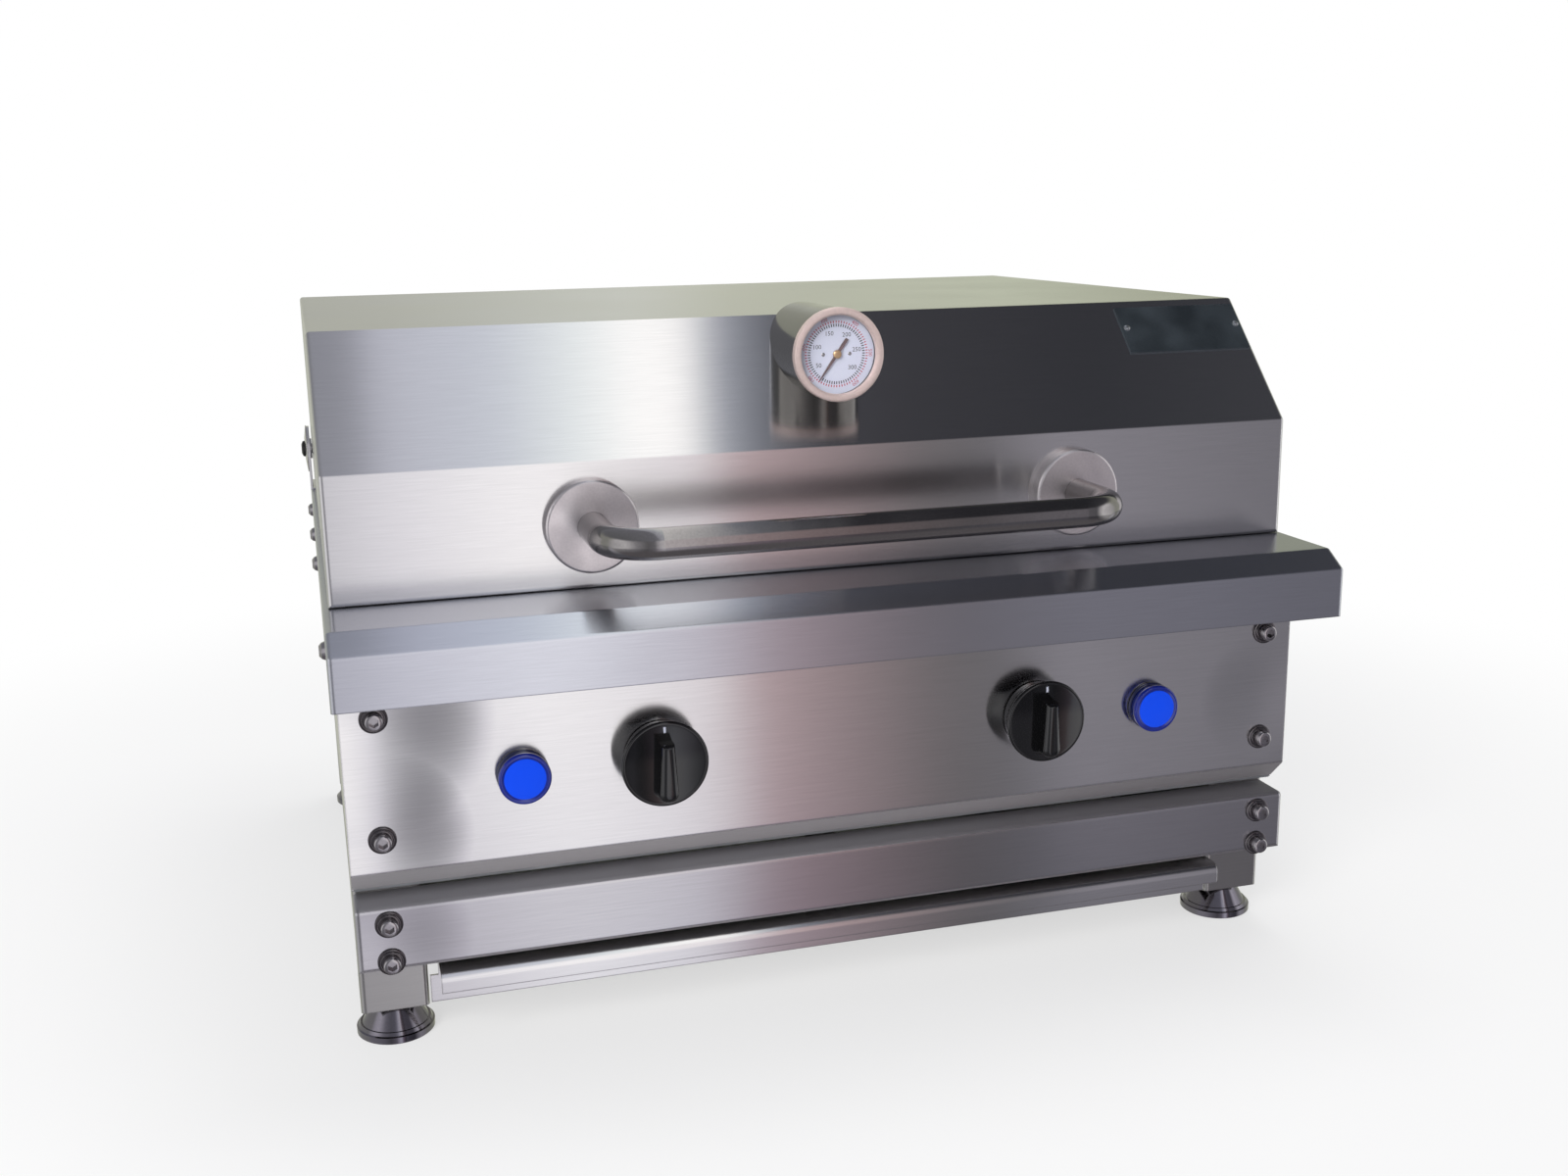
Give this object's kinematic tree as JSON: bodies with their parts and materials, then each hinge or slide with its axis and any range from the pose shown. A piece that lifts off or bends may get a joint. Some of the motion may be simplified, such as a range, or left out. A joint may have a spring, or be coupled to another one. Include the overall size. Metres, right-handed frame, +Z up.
{
  "type": "electric plancha",
  "caption": "Countertop electric griddle in folded stainless sheet with a hinged lid, a bar handle, a lid thermometer, rotary controls, pilot lamps and a grease drawer.",
  "frame": {"origin": "on the floor plane, under the centre of the overall box", "axes": "+X to the operator's right, +Y to the rear, +Z up; the controls face -Y"},
  "size_m": [0.6162, 0.5442, 0.4246],
  "materials": {
    "sheet_steel": "brushed stainless sheet, horizontal grain",
    "tube_steel": "fine brushed stainless tube",
    "satin_steel": "satin stainless",
    "polished_steel": "polished stainless",
    "screw_steel": "bright stainless fasteners",
    "zinc_steel": "zinc plated steel",
    "black_steel": "black finished steel",
    "galvanised": "galvanised sheet",
    "griddle_steel": "ground steel plate",
    "element_sheath": "heat-tinted sheath",
    "copper": "plain copper",
    "brass": "turned brass",
    "black_plastic": "matte black plastic",
    "knob_black": "gloss black phenolic",
    "control_housing": "heat resistant moulding",
    "terminal_white": "natural nylon",
    "lamp_body": "dark blue translucent plastic",
    "lamp_lens": "blue translucent plastic",
    "dial_white": "white enamelled dial",
    "pointer_black": "matte black",
    "gauge_glass": "clear flat glass"
  },
  "bodies": {
    "base": {"bottom_plate": "galvanised", "cable_gland": "black_plastic", "clamp_nuts": "zinc_steel", "control_panel": "sheet_steel", "drain_tube": "tube_steel", "drawer_runners": "sheet_steel", "element_clamps": "galvanised", "front_rail": "sheet_steel", "gland_nut": "black_plastic", "griddle_plate": "griddle_steel", "heat_shield": "galvanised", "heating_elements": "element_sheath", "hinge_bolts": "black_steel", "hinge_brackets": "sheet_steel", "hinge_nuts": "zinc_steel", "hinge_washers": "sheet_steel", "lamp_lenses": "lamp_lens", "lamp_nuts": "black_plastic", "leg_plugs": "black_plastic", "legs": "tube_steel", "panel_screws": "screw_steel", "pilot_lamp_left": "lamp_body", "pilot_lamp_right": "lamp_body", "plate_supports": "galvanised", "rail_screws": "screw_steel", "rear_panel": "sheet_steel", "rear_rail": "tube_steel", "rivet_nuts": "zinc_steel", "screw_washers": "screw_steel", "side_panel_left": "sheet_steel", "side_panel_right": "sheet_steel", "side_rails": "tube_steel", "side_screws": "screw_steel", "terminal_block": "terminal_white", "thermostat_bulbs": "copper", "thermostat_left": "control_housing", "thermostat_right": "control_housing", "worktop": "sheet_steel"},
    "lid": {"lid_shell": "sheet_steel", "handle_bar": "polished_steel", "handle_rosettes": "satin_steel", "handle_screws": "zinc_steel", "gauge_housing": "sheet_steel", "gauge_case": "black_steel", "gauge_bezel": "polished_steel", "gauge_glass": "gauge_glass", "gauge_dial": "dial_white", "gauge_probe": "brass", "maker_plate": "satin_steel", "maker_plate_rivets": "zinc_steel"},
    "gauge_needle": {"gauge_pointer": "pointer_black"},
    "drawer": {"drawer_tray": "sheet_steel"},
    "control_left": {"knob_left": "knob_black", "spindle_left": "zinc_steel"},
    "control_right": {"knob_right": "knob_black", "spindle_right": "zinc_steel"},
    "foot_front_left": {"foot_front_left": "polished_steel"},
    "foot_front_right": {"foot_front_right": "polished_steel"},
    "foot_rear_left": {"foot_rear_left": "polished_steel"},
    "foot_rear_right": {"foot_rear_right": "polished_steel"}
  },
  "joints": [
    {"name": "lid_hinge", "type": "hinge", "parent": "base", "child": "lid", "pos_m": [0, 0.2461, 0.299], "axis": [-1, 0, 0], "range_deg": [0, 90]},
    {"name": "drawer_slide", "type": "slide", "parent": "base", "child": "drawer", "axis": [0, -1, 0], "range_m": [0, 0.35]},
    {"name": "left_control_turn", "type": "hinge", "parent": "base", "child": "control_left", "pos_m": [-0.12, -0.2142, 0.17], "axis": [0, 1, 0], "range_deg": [0, 270]},
    {"name": "right_control_turn", "type": "hinge", "parent": "base", "child": "control_right", "pos_m": [0.12, -0.2142, 0.17], "axis": [0, 1, 0], "range_deg": [0, 270]},
    {"name": "gauge_needle_turn", "type": "hinge", "parent": "lid", "child": "gauge_needle", "pos_m": [0, -0.1959, 0.397], "axis": [0, 1, 0], "range_deg": [-26, 274]},
    {"name": "front_left_foot_turn", "type": "hinge", "parent": "base", "child": "foot_front_left", "pos_m": [-0.28, -0.1707, 0], "axis": [0, 0, 1], "continuous": true},
    {"name": "front_right_foot_turn", "type": "hinge", "parent": "base", "child": "foot_front_right", "pos_m": [0.28, -0.1707, 0], "axis": [0, 0, 1], "continuous": true},
    {"name": "rear_left_foot_turn", "type": "hinge", "parent": "base", "child": "foot_rear_left", "pos_m": [-0.28, 0.2469, 0], "axis": [0, 0, 1], "continuous": true},
    {"name": "rear_right_foot_turn", "type": "hinge", "parent": "base", "child": "foot_rear_right", "pos_m": [0.28, 0.2469, 0], "axis": [0, 0, 1], "continuous": true}
  ]
}
